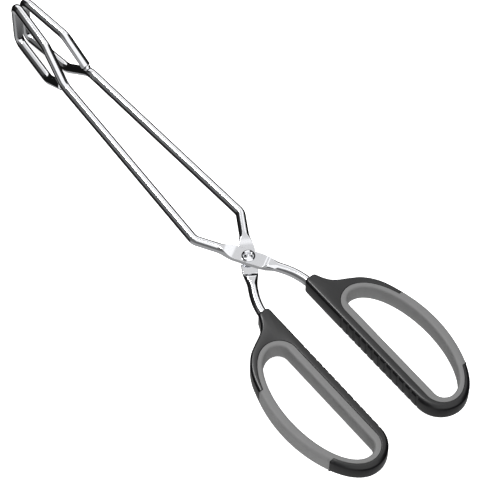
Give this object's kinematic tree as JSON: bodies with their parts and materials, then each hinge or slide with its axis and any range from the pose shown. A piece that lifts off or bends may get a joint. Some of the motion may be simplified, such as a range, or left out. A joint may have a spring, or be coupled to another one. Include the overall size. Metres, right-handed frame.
{
  "type": "scissor tongs",
  "caption": "Scissor-action kitchen tongs: bent steel rods crossing at a rivet, with wire jaw loops and hard-and-soft finger-loop handles.",
  "frame": {"origin": "middle of the bounding box with the tongs closed, on the plane that the tongs open in", "axes": "+X along the tongs towards the tips, +Z along the rivet out of its head, +Y towards the left handle"},
  "size_m": [0.32, 0.0952, 0.0336],
  "materials": {
    "polished_steel": "mirror polished",
    "black_plastic": "satin moulded",
    "grey_elastomer": "matte soft-touch"
  },
  "bodies": {
    "upper_half": {"upper_arm": "polished_steel", "upper_weld": "polished_steel", "right_handle_core": "black_plastic", "right_handle_grip": "grey_elastomer", "pivot_rivet": "polished_steel"},
    "lower_half": {"lower_arm": "polished_steel", "lower_weld": "polished_steel", "left_handle_core": "black_plastic", "left_handle_grip": "grey_elastomer"}
  },
  "joints": [
    {"name": "tongs_pivot", "type": "hinge", "parent": "upper_half", "child": "lower_half", "pos_m": [-0.0319, 0, 0], "axis": [0, 0, -1], "range_deg": [0, 60]}
  ]
}
